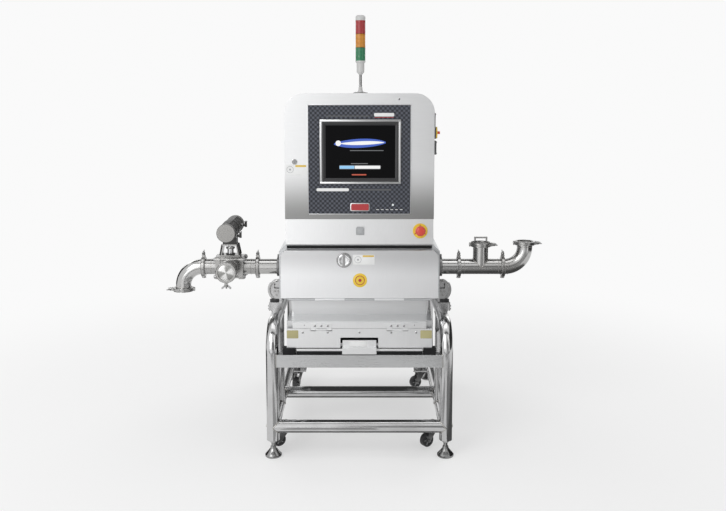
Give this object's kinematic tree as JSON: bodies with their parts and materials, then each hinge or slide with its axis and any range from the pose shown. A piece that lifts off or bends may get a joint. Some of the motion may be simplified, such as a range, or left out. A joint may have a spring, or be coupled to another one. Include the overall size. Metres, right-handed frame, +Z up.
{
  "type": "x-ray inspection machine",
  "caption": "Pipeline x-ray inspection machine: steel cabinet with screen on a tube frame, product pipe with diverter valve, flip-down cover, drip tray and signal tower.",
  "frame": {"origin": "on the floor, under the middle of the whole machine", "axes": "+Z up, -Y is the operator front, +X is the right of someone facing the screen"},
  "size_m": [1.564, 1.016, 1.751],
  "materials": {
    "steel": "satin",
    "polished_tube": "polished",
    "polished_pipe": "polished",
    "chrome": "polished",
    "rubber": "matt",
    "wheel_rubber": "matt",
    "ring_yellow": "gloss",
    "button_red": "gloss",
    "port_grey": "matt",
    "overlay": "satin",
    "bezel": "satin",
    "screen": "gloss",
    "switch_grey": "matt",
    "lamp_white": "satin",
    "lenses": "gloss",
    "tank": "painted",
    "electronics": "painted",
    "detector": "anodised",
    "actuator": "satin",
    "gasket": "matt"
  },
  "bodies": {
    "frame": {"hoop_left": "polished_tube", "hoop_right": "polished_tube", "side_rail_left": "polished_tube", "side_rail_right": "polished_tube", "cross_tubes": "polished_tube", "top_beams": "steel", "foot_lock_nuts": "polished_tube", "beam_pads": "rubber", "base_box": "steel", "flap_hinge": "steel", "chamber_shell": "steel", "inspection_pipe": "polished_pipe", "cover_hinge": "steel", "side_bracket_left": "steel", "side_bracket_right": "steel", "line_detector": "detector", "cabinet_shell": "steel", "control_band": "steel", "estop_base": "ring_yellow", "panel_overlay": "overlay", "screen_bezel": "bezel", "screen_glass": "screen", "side_boxes": "switch_grey", "signal_tower_stem": "lamp_white", "signal_tower_lenses": "lenses", "xray_generator": "tank", "controller_unit": "electronics", "inlet_elbow": "polished_pipe", "valve_body": "polished_pipe", "valve_yoke": "polished_pipe", "valve_actuator": "actuator", "pipe_tee": "polished_pipe", "blind_caps": "polished_pipe", "outlet_elbow": "polished_pipe", "pipe_clamps": "polished_pipe", "wing_nuts": "polished_pipe", "gaskets": "gasket"},
    "foot_front_left": {"foot_front_left": "polished_tube"},
    "foot_front_right": {"foot_front_right": "polished_tube"},
    "foot_rear_left": {"foot_rear_left": "polished_tube"},
    "foot_rear_right": {"foot_rear_right": "polished_tube"},
    "caster_fork_front_left": {"caster_fork_front_left": "steel"},
    "caster_wheel_front_left": {"caster_wheel_front_left": "wheel_rubber"},
    "caster_fork_front_right": {"caster_fork_front_right": "steel"},
    "caster_wheel_front_right": {"caster_wheel_front_right": "wheel_rubber"},
    "caster_fork_rear_left": {"caster_fork_rear_left": "steel"},
    "caster_wheel_rear_left": {"caster_wheel_rear_left": "wheel_rubber"},
    "caster_fork_rear_right": {"caster_fork_rear_right": "steel"},
    "caster_wheel_rear_right": {"caster_wheel_rear_right": "wheel_rubber"},
    "drip_tray": {"drip_tray": "steel"},
    "access_flap": {"access_flap": "steel"},
    "front_cover": {"front_cover": "steel"},
    "cover_latch": {"cover_latch": "chrome"},
    "rear_door": {"rear_door": "steel"},
    "rear_door_latch": {"rear_door_latch": "chrome"},
    "estop_button": {"estop_button": "button_red"},
    "port_cap": {"port_cap": "port_grey"},
    "key_lock": {"key_lock": "chrome"},
    "main_switch_knob": {"main_switch_knob": "button_red"},
    "valve_rotor": {"valve_rotor": "polished_pipe"}
  },
  "joints": [
    {"name": "foot_front_left_screw", "type": "slide", "parent": "frame", "child": "foot_front_left", "axis": [0, 0, -1], "range_m": [0, 0.03]},
    {"name": "foot_front_right_screw", "type": "slide", "parent": "frame", "child": "foot_front_right", "axis": [0, 0, -1], "range_m": [0, 0.03]},
    {"name": "foot_rear_left_screw", "type": "slide", "parent": "frame", "child": "foot_rear_left", "axis": [0, 0, -1], "range_m": [0, 0.03]},
    {"name": "foot_rear_right_screw", "type": "slide", "parent": "frame", "child": "foot_rear_right", "axis": [0, 0, -1], "range_m": [0, 0.03]},
    {"name": "caster_swivel_front_left", "type": "hinge", "parent": "frame", "child": "caster_fork_front_left", "pos_m": [-0.274, -0.38, 0.0926], "axis": [0, 0, 1], "continuous": true},
    {"name": "caster_roll_front_left", "type": "hinge", "parent": "caster_fork_front_left", "child": "caster_wheel_front_left", "pos_m": [-0.30407, -0.39094, 0.0355], "axis": [0.342, -0.9397, 0], "continuous": true},
    {"name": "caster_swivel_front_right", "type": "hinge", "parent": "frame", "child": "caster_fork_front_right", "pos_m": [0.326, -0.38, 0.0926], "axis": [0, 0, 1], "continuous": true},
    {"name": "caster_roll_front_right", "type": "hinge", "parent": "caster_fork_front_right", "child": "caster_wheel_front_right", "pos_m": [0.29979, -0.39835, 0.0355], "axis": [0.5736, -0.8192, 0], "continuous": true},
    {"name": "caster_swivel_rear_left", "type": "hinge", "parent": "frame", "child": "caster_fork_rear_left", "pos_m": [-0.274, 0.335, 0.0926], "axis": [0, 0, 1], "continuous": true},
    {"name": "caster_roll_rear_left", "type": "hinge", "parent": "caster_fork_rear_left", "child": "caster_wheel_rear_left", "pos_m": [-0.28495, 0.30493, 0.0355], "axis": [0.9397, -0.342, 0], "continuous": true},
    {"name": "caster_swivel_rear_right", "type": "hinge", "parent": "frame", "child": "caster_fork_rear_right", "pos_m": [0.326, 0.335, 0.0926], "axis": [0, 0, 1], "continuous": true},
    {"name": "caster_roll_rear_right", "type": "hinge", "parent": "caster_fork_rear_right", "child": "caster_wheel_rear_right", "pos_m": [0.297, 0.32148, 0.0355], "axis": [0.4226, -0.9063, 0], "continuous": true},
    {"name": "drip_tray_slide", "type": "slide", "parent": "frame", "child": "drip_tray", "axis": [0, -1, 0], "range_m": [0, 0.3]},
    {"name": "access_flap_hinge", "type": "hinge", "parent": "frame", "child": "access_flap", "pos_m": [0.026, -0.4825, 0.5178], "axis": [-1, 0, 0], "range_deg": [0, 100]},
    {"name": "front_cover_hinge", "type": "hinge", "parent": "frame", "child": "front_cover", "pos_m": [0.026, -0.373, 0.612], "axis": [1, 0, 0], "range_deg": [0, 90]},
    {"name": "cover_latch_turn", "type": "hinge", "parent": "front_cover", "child": "cover_latch", "pos_m": [-0.036, -0.379, 0.774], "axis": [0, -1, 0], "range_deg": [0, 90]},
    {"name": "rear_door_hinge", "type": "hinge", "parent": "frame", "child": "rear_door", "pos_m": [-0.262, 0.259, 1.185], "axis": [0, 0, 1], "range_deg": [0, 110]},
    {"name": "rear_door_latch_turn", "type": "hinge", "parent": "rear_door", "child": "rear_door_latch", "pos_m": [0.268, 0.274, 1.185], "axis": [0, 1, 0], "range_deg": [0, 90]},
    {"name": "estop_push", "type": "slide", "parent": "frame", "child": "estop_button", "axis": [0, 0.9952, -0.0976], "range_m": [0, 0.005], "stiffness_N_per_m": 3000},
    {"name": "port_cap_hinge", "type": "hinge", "parent": "frame", "child": "port_cap", "pos_m": [0.029, -0.35068, 0.90268], "axis": [-1, 0, 0], "range_deg": [0, 110]},
    {"name": "key_lock_turn", "type": "hinge", "parent": "frame", "child": "key_lock", "pos_m": [-0.233, -0.345, 1.166], "axis": [0, -1, 0], "range_deg": [0, 90]},
    {"name": "main_switch_turn", "type": "hinge", "parent": "frame", "child": "main_switch_knob", "pos_m": [0.333, -0.295, 1.28], "axis": [1, 0, 0], "range_deg": [0, 90]},
    {"name": "valve_turn", "type": "hinge", "parent": "frame", "child": "valve_rotor", "pos_m": [-0.513, -0.225, 0.718], "axis": [0, 0, 1], "range_deg": [0, 90]}
  ]
}
